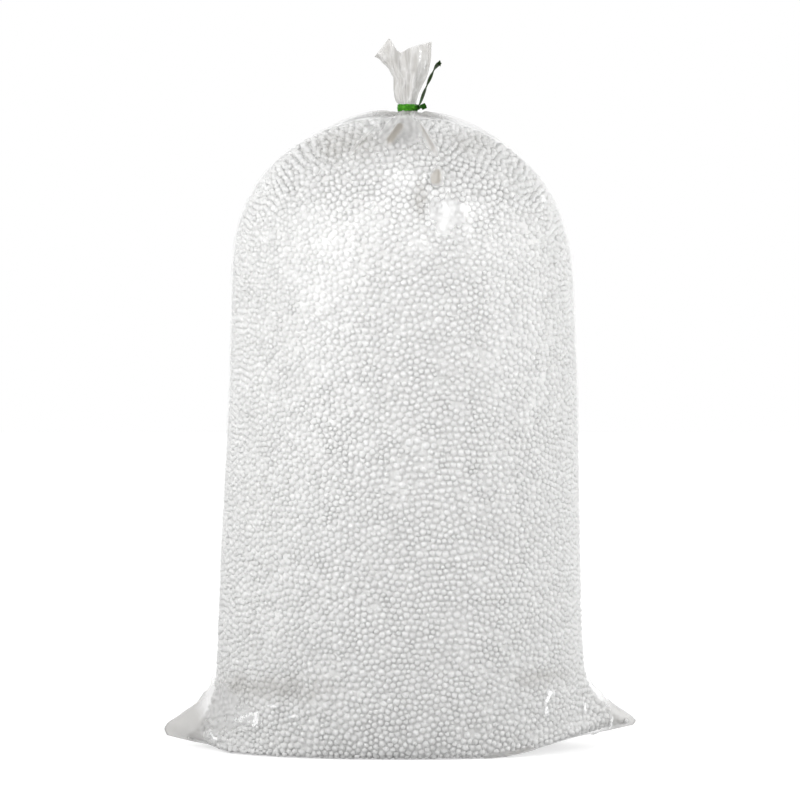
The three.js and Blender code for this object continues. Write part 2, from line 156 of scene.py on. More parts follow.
# The grey wedge of gathered film under the neck, which widens downwards
WEDGE_SPREAD = 30.0
WEDGE_FOOT = 0.12
WEDGE_SHIFT = 9.0
WEDGE_EDGE = (40.5, 13.5)
GATHER_REACH = 22.0

# Edges of folds, patches and zones: how folds fade at their ends, how ragged edges are,
# and where a patch begins and is full
FOLD_END_FADE, FOLD_END_POWER = 0.6, 6
PATCH_EDGE = (1, 0.4)
PATCH_RAGGED = 0.7
LEFT_EAR_RAGGED, RIGHT_EAR_RAGGED, WEDGE_RAGGED = 14, 10, 16
SEAL_ROWS = 2.5

# How milky the film is, and how warm its tone, where it lies doubled or gathered
LEFT_EAR_MILK, RIGHT_EAR_MILK, EAR_MILK = 0.5, 0.42, 0.12
TUFT_MILK, NECK_MILK, WEDGE_MILK, SEAL_MILK = 0.62, 0.8, 0.6, 0.4
GATHERED_WARMTH, TUFT_WARMTH, EAR_WARMTH = 0.72, 0.72, 1.2
# White painted glints on the tuft's crinkles
TUFT_PAINTED_GLINT = 0.54

# How much light the film mirrors: head on, and more at a grazing angle, on a painted glint and in a shine
HEAD_ON_MIRROR = 0.028
GRAZING_MIRROR, GRAZING_POWER = 0.1, 4.0
GLINT_MIRROR = 0.3
SHINE_MIRROR = 0.35

# Beads, with their lengths in millimetres
BEAD_RADIUS = 2.1
BEAD_SPREAD = 0.3
BEAD_LEAST, BEAD_MOST = 1.4, 2.9
BEAD_GAP = 0.25
BEAD_SUNK, BEAD_SUNK_POWER = 0.55, 2.5
BEADS_IN_LEFT_EAR, BEADS_IN_RIGHT_EAR = 0.35, 0.8
BEAD_COVER = 0.87
BEAD_SIDES = 7
BEAD_PIECES = 5
WALL_BEAD = (0.18, 0.35, 0.56)
DOME_BEAD = (0.17, 0.33, 0.52, 0.72)
DOME_SLOPE = 0.25
LEAST_STEEPNESS = 0.55
CORE_DEPTH, DOME_CORE_DEPTH = 2.3, 3.4
CORE_DOME_ZONE = (0.1, 0.5)
FILL_COLUMNS = 160
FILL_ROW_STEP = 4.0
SETTLE_ROUNDS = 48
SETTLE_REFRESH = 8
SETTLE_SNAP = 4
SETTLE_MOVE = 0.8
SETTLE_MARGIN = 0.6

# Tie mesh
KNOT_POINTS, TAIL_POINTS, LOOP_POINTS, RIBBON_POINTS = 24, 49, 96, 13
LOOP_WAVE = Row(height=0.12, count=7)
TAIL_TWIST = Row(rate=10, start=-0.45)
WIRE_RIDGE = 0.7


# Curves

def softplus(value, width):
    return width * np.log1p(np.exp(np.minimum(value / width, 60)))


def lerp(a, b, share):
    return a + (b - a) * share


def fade(value, start, end):
    """0 at the start and 1 at the end, straight between them and level outside."""
    return np.clip((value - start) / (end - start), 0, 1)


def smoothstep(value):
    value = np.clip(value, 0, 1)
    return value**2 * (3 - 2 * value)


def hill(away, width):
    return np.exp(-((away / width) ** 2))


def field(points, waves):
    """Smooth noise from about -1 to 1 at points."""
    at = points / np.asarray(waves.scale) + waves.seed
    return np.array([noise.noise(p) for p in at.tolist()])


# Rows of the bag

def half_depth_of(half_width):
    return math.sqrt(2 * (LAY_FLAT_WIDTH / math.pi) ** 2 - half_width**2)


def wall_half_width(height):
    return lerp(WALL_FOOT_WIDTH, WALL_TOP_WIDTH, (height - WALL_FOOT_HEIGHT) / WALL_HEIGHT) / 2


def shift_at(height):
    lean = WALL_LEAN * hill(height - LEAN_HEIGHT, LEAN_SPAN)
    share = max(0.0, (height - WALL_TOP_HEIGHT) / DOME_HEIGHT)
    return lerp(lean, NECK_SHIFT, share**NECK_SHIFT_POWER)


def ear_edge(ear, height):
    run = (EAR_REACH - WALL_FOOT_WIDTH / 2) / EAR_SLOPE
    root = ear.lift + ear.blunt + EAR_FILLET * math.log(math.expm1(run / EAR_FILLET))
    return WALL_FOOT_WIDTH / 2 + EAR_SLOPE * softplus(root - height, EAR_FILLET)


def fold_at(ear, end, edge):
    """Where a row folds at an ear: on the ear's blunt end, or on the edge that rises from it to the wall."""
    lift_from = ear.lift_from * EAR_REACH
    if edge is None:
        x = EAR_REACH - EAR_ROUND * (2 * end - 1) ** 2
        return Row(x=x, z=ear.lift + end * ear.blunt, lift_from=lift_from)
    z = lerp(ear.lift + ear.blunt, WALL_FOOT_HEIGHT, edge)
    return Row(x=ear_edge(ear, z), z=z, lift_from=lift_from)


def bottom_row(depth, turn, puff, end=None, edge=None):
    angle = turn * math.pi / 2
    wall = WALL_FOOT_WIDTH / 2
    return Row(
        half_width=lerp(FLOOR_WIDTH / 2, wall, math.sin(angle)),
        half_depth=lerp(max(SEAL_HALF, depth * FLOOR_DEPTH / 2), half_depth_of(wall), math.sin(angle)),
        height=WALL_FOOT_HEIGHT * (1 - math.cos(angle)),
        shift=0.0,
        blend=lerp(EAR_BLEND, WALL_BLEND, turn**2),
        puff=max(SEAL_HALF, EAR_PUFF * puff),
        left=fold_at(LEFT_EAR, end, edge),
        right=fold_at(RIGHT_EAR, end, edge),
    )


def oval_row(half_width, half_depth, height):
    fold = Row(x=half_width, z=height, lift_from=0.0)
    return Row(half_width=half_width, half_depth=half_depth, height=height, shift=shift_at(height),
               blend=WALL_BLEND, puff=0.0, left=fold, right=fold)


def wall_row(share):
    height = lerp(WALL_FOOT_HEIGHT, WALL_TOP_HEIGHT, share)
    return oval_row(wall_half_width(height), half_depth_of(wall_half_width(height)), height)


def dome_row(share):
    height = lerp(WALL_TOP_HEIGHT, NECK_HEIGHT, share)
    left = math.sqrt(1 - share**DOME_POWER)
    return oval_row(left * wall_half_width(height), left * half_depth_of(wall_half_width(height)), height)


def ring(row, columns, in_left_ear=1.0, in_right_ear=1.0):
    """A closed ring of points, evenly spaced along the film, from the right end round the back."""
    cosine = np.cos(np.linspace(0, math.pi, SAMPLES + 1))

    def pick(name):
        return np.where(cosine < 0, getattr(row.left, name), getattr(row.right, name))

    def rounded(at):
        return softplus(1 - (at / row.half_width) ** 2, row.blend)

    reach = lerp(row.half_width, pick("x"), np.where(cosine < 0, in_left_ear, in_right_ear))
    x = cosine * reach
    filled = np.clip((rounded(x) - rounded(reach)) / (rounded(0.0) - rounded(reach)), 0, None)
    ear = np.where(reach > row.half_width, row.puff * np.sqrt(np.clip(1 - np.abs(x) / reach, 0, None)), 0)
    y = np.hypot(row.half_depth * np.sqrt(filled), ear)
    y[[0, -1]] = 0
    share = fade(np.abs(x), pick("lift_from"), pick("x"))
    z = lerp(row.height, pick("z"), share**EAR_CURL)
    line = np.stack([x, y, z], 1)
    along = np.concatenate([[0], np.cumsum(np.linalg.norm(np.diff(line, axis=0), axis=1))])
    steps = np.linspace(0, along[-1], columns // 2 + 1)
    back = np.stack([np.interp(steps, along, line[:, k]) for k in range(3)], 1)
    points = np.concatenate([back, back[-2:0:-1] * [1, -1, 1]])
    points[:, 0] += row.shift
    return points


BOTTOM_ROWS = [
    bottom_row(0, 0, 0, end=0),
    bottom_row(0.14, 0, 0.2, end=0.5),
    bottom_row(0.6, 0, 0.5, end=1),
    bottom_row(1, 0, 0.8, edge=0.14),
    bottom_row(1, 0.3, 1, edge=0.3),
    bottom_row(1, 0.55, 1, edge=0.48),
    bottom_row(1, 0.78, 1, edge=0.7),
    bottom_row(1, 1, 1, edge=1),
]
WALL_ROWS = [wall_row(s) for s in (0.25, 0.5, 0.75, 1)]
DOME_ROWS = [dome_row(s) for s in (0.16, 0.31, 0.45, 0.58, 0.69, 0.79, 0.87, 0.93, 0.97, 0.992)]


def smooth_rows(keys, step):
    """Rows about a step apart on curves through the key rows, which never swing past them."""
    keys = np.asarray(keys)
    length = np.linalg.norm(np.diff(keys, axis=0), axis=2).mean(1)
    at = np.concatenate([[0], np.cumsum(length)])
    slope = np.diff(keys, axis=0) / length[:, None, None]
    before, after = slope[:-1], slope[1:]
    same = before * after > 0
    inner = np.where(same, 2 * before * after / np.where(same, before + after, 1), 0)
    tangent = np.concatenate([slope[:1], inner, slope[-1:]])
    rows = []
    for s in np.linspace(0, at[-1], int(at[-1] / step) + 1):
        k = min(np.searchsorted(at, s, side="right") - 1, len(length) - 1)
        h = length[k]
        t = (s - at[k]) / h
        rows.append(
            keys[k] * (1 + 2 * t) * (1 - t) ** 2
            + tangent[k] * h * t * (1 - t) ** 2
            + keys[k + 1] * t**2 * (3 - 2 * t)
            + tangent[k + 1] * h * t**2 * (t - 1)
        )
    return np.asarray(rows)


# Meshes

def grid_quads(rows, columns):
    row, column = np.meshgrid(np.arange(rows - 1), np.arange(columns), indexing="ij")
    a = row * columns + column
    b = row * columns + (column + 1) % columns
    return np.stack([a, b, b + columns, a + columns], -1).reshape(-1, 4)


def seam_faces(columns):
    """Closes the first ring by joining its back half to its front half."""
    back = np.arange(1, columns // 2 - 1)
    quads = np.stack([back, (columns - back) % columns, columns - back - 1, back + 1], 1)
    ends = [[0, columns - 1, 1], [columns // 2 - 1, columns // 2 + 1, columns // 2]]
    return quads, np.array(ends)


def make_piece(name, points, quads, tris, material):
    """A smooth mesh object from points in millimetres."""
    mesh = bpy.data.meshes.new(name)
    loops = np.concatenate([np.ravel(quads), np.ravel(tris)]).astype(np.int32)
    sizes = np.concatenate([np.full(len(quads), 4), np.full(len(tris), 3)])
    starts = np.concatenate([[0], np.cumsum(sizes)[:-1]]).astype(np.int32)
    mesh.vertices.add(len(points))
    mesh.vertices.foreach_set("co", np.ravel(np.asarray(points) * MM).astype(np.float32))
    mesh.loops.add(len(loops))
    mesh.loops.foreach_set("vertex_index", loops)
    mesh.polygons.add(len(starts))
    mesh.polygons.foreach_set("loop_start", starts)
    mesh.polygons.foreach_set("use_smooth", np.full(len(starts), True))
    mesh.update(calc_edges=True)
    mesh.validate()
    mesh.materials.append(material)
    piece = bpy.data.objects.new(name, mesh)
    bpy.context.scene.collection.objects.link(piece)
    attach(piece, "root")
    return piece


def normals_of(points, quads, tris):
    """Outward unit normals at the points of a surface."""
    total = np.zeros_like(points)
    for faces in (quads, tris):
        corners = [points[faces[:, k]] for k in range(faces.shape[1])]
        if len(corners) == 4:
            face_normal = np.cross(corners[2] - corners[0], corners[3] - corners[1])
        else:
            face_normal = np.cross(corners[1] - corners[0], corners[2] - corners[0])
        for k in range(len(corners)):
            np.add.at(total, faces[:, k], face_normal)
    return total / np.maximum(np.linalg.norm(total, axis=1, keepdims=True), 1e-12)


# Nodes and materials

def node_adder(tree):
    """A function that adds nodes to a tree."""

    def put(value, socket):
        if isinstance(value, bpy.types.NodeSocket):
            tree.links.new(value, socket)
        else:
            socket.default_value = value

    def add(kind, *inputs, **values):
        """A node with its first inputs in order, and with other inputs and settings by name."""
        node = tree.nodes.new(kind)
        for key, value in values.items():
            if key in node.inputs:
                put(value, node.inputs[key])
            else:
                setattr(node, key, value)
        for socket, value in zip(node.inputs, inputs):
            put(value, socket)
        return node

    return add


def new_material(name):
    material = bpy.data.materials.new(name)
    material.use_nodes = True
    material.node_tree.nodes.clear()
    return material, node_adder(material.node_tree)


def show(add, shader):
    add("ShaderNodeOutputMaterial", shader.outputs[0])


def calc(add, operation, *values):
    return add("ShaderNodeMath", *values, operation=operation).outputs[0]


def map_range(add, value, source=(0.0, 1.0), target=(0.0, 1.0)):
    return add("ShaderNodeMapRange", value, *source, *target).outputs["Result"]


def two_tones(add, share, first, second, ends=(0.0, 1.0)):
    """A colour that runs from the first to the second between two shares."""
    node = add("ShaderNodeValToRGB", share)
    for element, colour, end in zip(node.color_ramp.elements, (first, second), ends):
        element.position = end
        element.color = colour
    return node.outputs["Color"]


def bead_material():
    material, add = new_material("polystyrene_bead")
    island = add("ShaderNodeNewGeometry").outputs["Random Per Island"]
    place = add("ShaderNodeTexCoord").outputs["Object"]
    tone = two_tones(add, island, (0.82, 0.82, 0.815, 1), (0.92, 0.92, 0.915, 1))
    cells = add("ShaderNodeTexVoronoi", Vector=place, Scale=2200.0).outputs["Distance"]
    bump = add("ShaderNodeBump", Height=cells, Strength=0.12, Distance=0.0002).outputs["Normal"]
    show(add, add("ShaderNodeBsdfPrincipled", tone, Roughness=0.42, Normal=bump))
    return material


def core_material():
    material, add = new_material("bead_core")
    place = add("ShaderNodeTexCoord").outputs["Object"]
    cells = add("ShaderNodeTexVoronoi", Vector=place, Scale=230.0).outputs["Distance"]
    # Painted shade between the inner beads: each cell is lighter in its middle and darker towards its edges
    tone = two_tones(add, cells, (0.93, 0.93, 0.92, 1), (0.82, 0.82, 0.81, 1))
    bump = add("ShaderNodeBump", Height=cells, Strength=0.9, Distance=0.002, invert=True).outputs["Normal"]
    show(add, add("ShaderNodeBsdfPrincipled", tone, Roughness=0.6, Normal=bump))
    return material


def film_material():
    """Clear film, clouded in places, with white painted glints, beige folds of film in two layers, painted
    shade and a painted sheen in patches, under a soft gloss.
    """
    material, add = new_material("clear_film")
    place = add("ShaderNodeTexCoord").outputs["Object"]
    layers = ("milky_sheen_and_shade", "warm_and_shade", "pale", "shine")
    milky_sheen_and_shade, warm_and_shade, pale, shine = (
        add("ShaderNodeAttribute", attribute_name=name).outputs["Fac"] for name in layers
    )

    crinkle = add("ShaderNodeTexNoise", Vector=place, Scale=85.0, Detail=2.0, Roughness=0.6).outputs["Fac"]
    normal = add("ShaderNodeBump", Height=crinkle, Strength=0.4, Distance=0.0025).outputs["Normal"]

    cloud = add("ShaderNodeTexNoise", Vector=place, Scale=14.0, Detail=2.0, Roughness=0.6).outputs["Fac"]
    veil = map_range(add, cloud, source=(0.38, 0.72), target=(0.04, 0.13))
    haze = calc(add, "MAXIMUM", veil, milky_sheen_and_shade)
    # White painted glints: opaque white film where the painted glint share, broken up by fine grain, is high
    grain = add("ShaderNodeTexNoise", Vector=place, Scale=800.0, Detail=1.0).outputs["Fac"]
    painted_glint_cover = map_range(add, calc(add, "ADD", pale, grain), source=(1.05, 1.25), target=(0.0, 0.95))
    cover = calc(add, "MAXIMUM", haze, painted_glint_cover)

    # The film's white runs to dark beige where it lies in two layers or gathered, and where painted shade
    # darkens it
    tone = two_tones(add, warm_and_shade, (0.95, 0.95, 0.95, 1), (0.36, 0.335, 0.295, 1))
    body = add("ShaderNodeBsdfPrincipled", tone, Roughness=0.4, Normal=normal)
    clear = add("ShaderNodeBsdfTransparent")
    sheet = add("ShaderNodeMixShader", cover, clear.outputs[0], body.outputs[0])

    gloss = add("ShaderNodeBsdfAnisotropic", Color=(1, 1, 1, 1), Roughness=0.33, Normal=normal)
    facing = add("ShaderNodeLayerWeight", Blend=0.5, Normal=normal).outputs["Facing"]
    grazing = calc(add, "POWER", facing, GRAZING_POWER)
    mirror = calc(add, "MULTIPLY_ADD", grazing, GRAZING_MIRROR, HEAD_ON_MIRROR)
    mirror = calc(add, "MULTIPLY_ADD", painted_glint_cover, GLINT_MIRROR, mirror)
    mirror = calc(add, "MULTIPLY_ADD", shine, SHINE_MIRROR, mirror)
    show(add, add("ShaderNodeMixShader", mirror, sheet.outputs[0], gloss.outputs[0]))
    return material


def tie_material():
    """Streaky green plastic, with painted shade that darkens the knot and the long tail."""
    material, add = new_material("green_tie")
    place = add("ShaderNodeTexCoord").outputs["Object"]
    streak = add("ShaderNodeTexNoise", Vector=place, Scale=700.0, Detail=3.0).outputs["Fac"]
    colour = two_tones(add, streak, (0.025, 0.15, 0.004, 1), (0.085, 0.36, 0.02, 1), ends=(0.3, 0.7))
    bump = add("ShaderNodeBump", Height=streak, Strength=0.35, Distance=0.0003).outputs["Normal"]
    axes = add("ShaderNodeSeparateXYZ", place)
    # Painted shade: the knot, to the right, and the long tail above the tie are darkened
    for axis, start, end, painted_shade_colour in (
        ("X", NECK_SHIFT + 3.5, NECK_SHIFT + 6.5, (0.012, 0.075, 0.003, 1)),
        ("Z", TIE_TOP + 0.5, TIE_TOP + 4, (0.014, 0.034, 0.005, 1)),
    ):
        share = map_range(add, axes.outputs[axis], source=(start * MM, end * MM))
        mix = add("ShaderNodeMix", data_type="RGBA", Factor=share, A=colour, B=painted_shade_colour)
        colour = mix.outputs["Result"]
    skin = add("ShaderNodeBsdfPrincipled", colour, Roughness=0.45, Normal=bump)
    skin.inputs["Specular IOR Level"].default_value = 0.12
    show(add, skin)
    return material


# Film bag

def crease(start, end, width=1.5, height=1.2, doubled=0.0, pale=0.0, shine=0.0):
    """A fold on the front from one point to another, across and up, in millimetres.

    A fold in two layers looks beige, with painted shade where its crease is dark; a white one is a painted
    glint; and one that shines mirrors the light.
    """
    return Row(start=start, end=end, width=width, height=height, doubled=doubled, pale=pale, shine=shine)


FOLDS = [
    # Folds under the tie: beige film in two layers, dark creases of painted shade and white painted glints
    crease((1, 384), (-7, 372), 2.6, 3.4, doubled=1.6),
    crease((11, 385), (22, 364), 2.0, 3.4, doubled=0.9),
    crease((14, 385), (25, 364), 1.5, 1.5, pale=0.6, shine=0.2),
    crease((22, 357), (23, 351), 4.8, 3.2, doubled=0.4),
    crease((19, 356), (24, 360), 1.5, 2.0, pale=0.8),
    crease((14, 356), (15, 349), 3.0, 2.0, pale=0.6, shine=0.3),
    crease((-13, 384), (-32, 362), 1.8, 2.4, doubled=0.4),
    crease((-15, 383), (-34, 362), 1.3, 1.0, pale=0.5),
    crease((30, 382), (52, 366), 2.0, 2.0, pale=0.35),
    # A shiny crease, then white painted glints along folds and scratches on the dome and the ears
    crease((-24, 333), (-29, 296), 2.4, 0.8, shine=0.08),
    crease((85, 343), (88, 336), 2.2, 1.6, pale=0.8, shine=0.4),
    crease((-60, 262), (-34, 278), 1.2, 0.6, pale=0.7),
    crease((-62, 270), (-50, 276), 1.1, 0.6, pale=0.5),
    crease((-78, 218), (-61, 212), 1.2, 0.6, pale=0.6),
    crease((-102, 20), (-87, 28), pale=0.9, shine=0.2),
    crease((-87, 28), (-87, 18), 1.9, pale=1.0, shine=0.3),
    crease((-94, 24), (-88, 18), pale=0.9, shine=0.2),
    crease((-98, 19), (-94, 24), pale=0.7),
    crease((-81, 32), (-72, 32), pale=0.9, shine=0.2),
    crease((-68, 27), (-61, 26), pale=0.9, shine=0.2),
    crease((-117, 12), (-111, 7), pale=0.9, shine=0.2),
    crease((-107, 11), (-103, 4), pale=0.8),
    crease((-107, 40), (-106, 29), pale=0.5),
    crease((-103, 38), (-102, 30), pale=0.4),
    crease((92, 40), (88, 32), pale=0.9, shine=0.2),
    crease((88, 32), (88, 24), pale=0.9, shine=0.2),
    crease((89, 31), (92, 23), pale=0.6),
    crease((113, 31), (114, 22), pale=0.8),
    crease((131, 20), (130, 12), pale=0.9),
    crease((124, 14), (120, 8), pale=0.7),
    crease((72, 17), (80, 20), pale=0.6),
    # The seal's crinkled band: film in two layers with painted shade
    crease((50, 1.5), (82, 5), 1.4, 0.8, doubled=0.8),
    # White painted glints on the tuft
    crease((13, 434), (11.5, 424), 1.1, 0.5, pale=0.66),
    crease((16, 427), (14, 419), 1.1, 0.5, pale=0.6),
    crease((9, 418), (8, 408), 1.1, 0.5, pale=0.5),
    crease((-8, 430), (-12, 424), 1.1, 0.5, pale=0.5),
]


def soft_patch(at, size, haze=0.0, grey=0.0, shine=0.0):
    """A patch on the front by its middle and its half size, across and up, in millimetres. Most whitened
    patches are a painted sheen, and most darkened ones painted shade; a shiny one mirrors more light.
    """
    return Row(at=at, size=size, haze=haze, grey=grey, shine=shine)


PATCHES = [
    # Painted sheen: white patches on the dome's upper left, middle and right, and a streak below them, some
    # also shiny
    soft_patch((-60, 330), (24, 22), haze=0.2),
    soft_patch((-62, 280), (54, 80), haze=0.2),
    soft_patch((-18, 327), (11, 15), haze=0.21, shine=0.05),
    soft_patch((31, 333), (20, 23), haze=0.1, shine=0.3),
    soft_patch((28, 330), (14, 15), haze=0.1, shine=1.0),
    soft_patch((12, 308), (10, 17), haze=0.08, shine=0.36),
    # A shiny patch on the dome's top, with no white
    soft_patch((-10, 352), (36, 20), shine=0.4),
    # Painted shade above the right ear and in a dark fold under the tie
    soft_patch((86, 49), (26, 9), haze=0.19, grey=0.8),
    soft_patch((12, 338), (6, 19), haze=0.22, grey=1.0),
    # The beige triangle: a dark beige spot of film in two layers
    soft_patch((21.2, 350.8), (3.8, 5.2), haze=1.3, grey=1.5),
    # Painted shade on both sides of the dome's top
    soft_patch((-34, 373), (30, 15), haze=0.19, grey=0.9),
    soft_patch((44, 374), (28, 11), haze=0.17, grey=0.8),
    # Clouded, slightly darkened film beside the left ear
    soft_patch((-110, 29), (27, 30), haze=0.3, grey=0.2),
    # Painted shade above the left ear
    soft_patch((-75, 43), (48, 11), haze=0.18, grey=0.9),
    # A white painted glint on the left ear's crinkled triangle, also shiny
    soft_patch((-91, 23), (9, 8), haze=0.3, shine=0.5),
]


def column_angles():
    return 2 * math.pi * np.arange(COLUMNS) / COLUMNS


def pleat_ridge():
    return np.cos(PLEATS * column_angles())


def uneven(wave):
    """A share from 0 to 1 for each pleat, at all its columns."""
    index = np.round(np.arange(COLUMNS) * PLEATS / COLUMNS).astype(int) % PLEATS
    return 0.5 + 0.5 * np.sin(wave * (index + 1))


def pleated(row):
    """A ring of the dome with pleats that fan out of the neck."""
    points = ring(row, COLUMNS)
    angle = column_angles()
    reach = PLEAT_REACH * (0.5 + uneven(PLEAT_REACH_WAVE))
    height = PLEAT_HEIGHT * (0.4 + 0.6 * uneven(PLEAT_HEIGHT_WAVE))
    distance = np.hypot(points[:, 0] - NECK_SHIFT, points[:, 1])
    away = distance / reach
    raised = height * away * np.exp(1 - away - away**2) * (0.5 + 0.5 * pleat_ridge()) ** PLEAT_SHARPNESS
    near = distance / FINE_PLEAT_REACH
    fine = 0.5 + 0.5 * np.sin(FINE_PLEATS * angle + 2 * np.sin(3 * angle))
    raised += FINE_PLEAT_HEIGHT * near * np.exp(1 - near) * fine
    outward = points - [row.shift, 0, WALL_TOP_HEIGHT]
    return points + outward / np.linalg.norm(outward, axis=1, keepdims=True) * raised[:, None]


def neck_ring(height, radius):
    angle = column_angles()
    radius = radius * (1 + NECK_PLEAT_SHARE * pleat_ridge())
    x, y = NECK_SHIFT + radius * np.cos(angle), radius * np.sin(angle)
    return np.stack([x, y, np.full(COLUMNS, height)], 1)


def peak_at(peak, x):
    width = peak.width * np.where(x < peak.x, PEAK_OUTER_WIDTH, PEAK_INNER_WIDTH)
    return peak.rise * np.clip(1 - np.abs(x - peak.x) / width, 0, None) ** peak.power


def tuft_ring(share):
    """The film over the tie: two flat lobes with a pinch between them, and folds that fan out of the neck."""
    angle = column_angles()
    swell = TUFT_FOOT_RADIUS + TUFT_SWELL.size * (1 - math.exp(-share / TUFT_SWELL.share))
    left_reach = lerp(swell, TUFT_LEFT_REACH, max(0, 2 * share - 1) ** TUFT_LEFT_POWER)
    right_reach = lerp(TUFT_FOOT_RADIUS, TUFT_RIGHT_REACH, smoothstep(share / TUFT_RIGHT_FULL))
    reach = np.where(np.cos(angle) < 0, left_reach, right_reach)
    fold = np.sin(5 * angle + 1.2) + 0.7 * np.sin(9 * angle + 1.5 * share) + 0.25 * np.sin(21 * angle + 0.7)
    pleat = lerp(NECK_PLEAT, TUFT_PLEAT, share) * fold
    x = (reach + TUFT_PLEAT_WIDTH * pleat * np.sin(angle) ** 2) * np.cos(angle)
    pinch = 1 - TUFT_PINCH.depth * share * hill(x - TUFT_PINCH.x, TUFT_PINCH.width)
    half_depth = lerp(TUFT_FOOT_RADIUS, TUFT_HALF_DEPTH - TUFT_PLEAT_ROOM, share)
    y = (half_depth * pinch + TUFT_PLEAT_DEPTH * pleat) * np.sin(angle)
    peaks = peak_at(LEFT_PEAK, x) + peak_at(RIGHT_PEAK, x)
    return np.stack([NECK_SHIFT + x, y, TIE_TOP + share * (TUFT_HEIGHT + share * peaks)], 1)


def film_surface():
    """The smooth film as points, row by row from the seal to the tuft, quads and triangles."""
    keys = [ring(row, COLUMNS) for row in BOTTOM_ROWS + WALL_ROWS]
    keys += [pleated(row) for row in DOME_ROWS]
    keys.append(neck_ring(NECK_HEIGHT + NECK_FLARE.height, NECK_FLARE.radius))
    keys.append(neck_ring(TIE_BOTTOM, NECK_ENTRY_RADIUS))
    neck = [neck_ring(h, NECK_RADIUS) for h in np.linspace(TIE_BOTTOM, TIE_TOP, NECK_ROWS + 1)[1:]]
    tuft = [tuft_ring(s) for s in np.linspace(TUFT_FIRST_ROW, 1, TUFT_ROWS)]
    rows = np.concatenate([smooth_rows(keys, ROW_STEP), neck, tuft])
    seam, ends = seam_faces(COLUMNS)
    return rows.reshape(-1, 3), np.concatenate([grid_quads(len(rows), COLUMNS), seam]), ends


def along_fold(points, fold):
    """How near the front's points are to a fold, from 0 to 1."""
    start, end = np.array(fold.start), np.array(fold.end)
    flat = points[:, [0, 2]]
    run = end - start
    share = np.clip((flat - start) @ run / (run @ run), 0, 1)
    away = np.linalg.norm(flat - (start + share[:, None] * run), axis=1)
    fading = 1 - FOLD_END_FADE * (2 * share - 1) ** FOLD_END_POWER
    return hill(away, fold.width) * fading * (points[:, 1] < 0)


def film_zones(points):
    """The parts of the film and its noise, as shares at its points."""
    x, y, z = points.T
    ragged = 0.5 * field(points, RAGGED)
    low = fade(z, *LOW_ZONE)
    return Row(
        front=y < 0,
        free=fade(z, *FREE_ZONE),
        ear=fade(np.abs(x), *EAR_ZONE) * low,
        left_ear=fade(LEFT_EAR_RAGGED * ragged - x, *LEFT_EAR_ZONE) * low,
        right_ear=fade(RIGHT_EAR_RAGGED * ragged + x, *RIGHT_EAR_ZONE) * low,
        crinkle=(1 - np.abs(field(points, CRINKLES))) ** 6,
        fine=ragged + 0.4 * field(points, FINE),
    )


def wrinkles(points, normal, zones):
    """How far the film stands out from its smooth form."""
    x, z = points[:, 0], points[:, 2]
    wall = fade(z, *WALL_FOOT_ZONE) * fade(z, *WALL_NECK_ZONE)
    ridge = (1 - np.abs(field(points, RIDGES))) ** 7
    slack = (0.5 + 0.5 * field(points, SLACK)) ** 2
    lift = wall * (RIDGE_HEIGHT * ridge + (SLACK_HEIGHT + UPPER_SLACK_HEIGHT * fade(z, *UPPER_ZONE)) * slack)
    top_side = fade(np.abs(x), *EAR_TIP_ZONE) * np.clip(1 + 3 * normal[:, 2], 0, 1)
    lift += zones.ear * top_side * EAR_RIDGE_HEIGHT * (1 - np.abs(field(points, EAR_RIDGES))) ** 5
    lift += zones.free * (TUFT_WAVE_HEIGHT * field(points, TUFT_WAVES) + TUFT_CRINKLE_HEIGHT * zones.crinkle)
    for fold in FOLDS:
        lift += fold.height * along_fold(points, fold)
    held = (z > NECK_HEIGHT) & (z < TIE_TOP + 1)
    return np.where(held, 0, lift)


